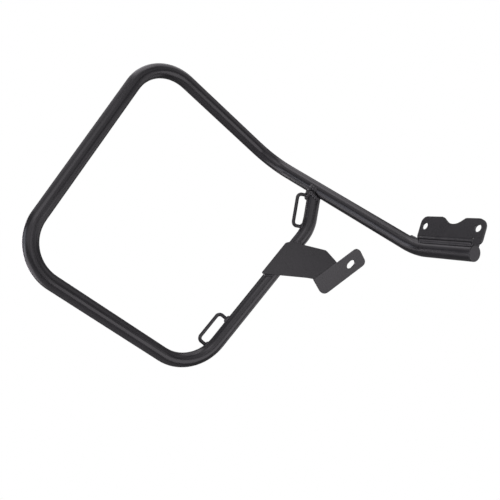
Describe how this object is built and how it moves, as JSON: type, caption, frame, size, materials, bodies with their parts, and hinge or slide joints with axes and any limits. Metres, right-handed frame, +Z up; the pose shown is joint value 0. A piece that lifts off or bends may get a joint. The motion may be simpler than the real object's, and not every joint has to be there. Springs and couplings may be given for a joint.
{
  "type": "pannier frame",
  "caption": "Bent steel tube loop with a braced arm, welded sheet brackets and rod strap loops, which holds a soft pannier off a motorbike's wheel",
  "frame": {"origin": "midpoint between the tail bracket's two bolt holes, at half the sheet's thickness", "axes": "+X forward, +Y outboard (away from the wheel), +Z up, for the left side of the motorbike; the loop's plane is parallel to XZ"},
  "size_m": [0.3256, 0.269, 0.284],
  "materials": {
    "coated_steel": "satin",
    "weld": "satin"
  },
  "bodies": {
    "root": {"main_tube": "coated_steel", "tail_plug": "coated_steel", "upper_strap_loop": "coated_steel", "lower_strap_loop": "coated_steel", "mid_bracket": "coated_steel", "tail_bracket": "coated_steel", "joint_bead": "weld", "upper_loop_beads": "weld", "lower_loop_beads": "weld", "mid_bracket_beads": "weld", "tail_bracket_beads": "weld"}
  },
  "joints": []
}
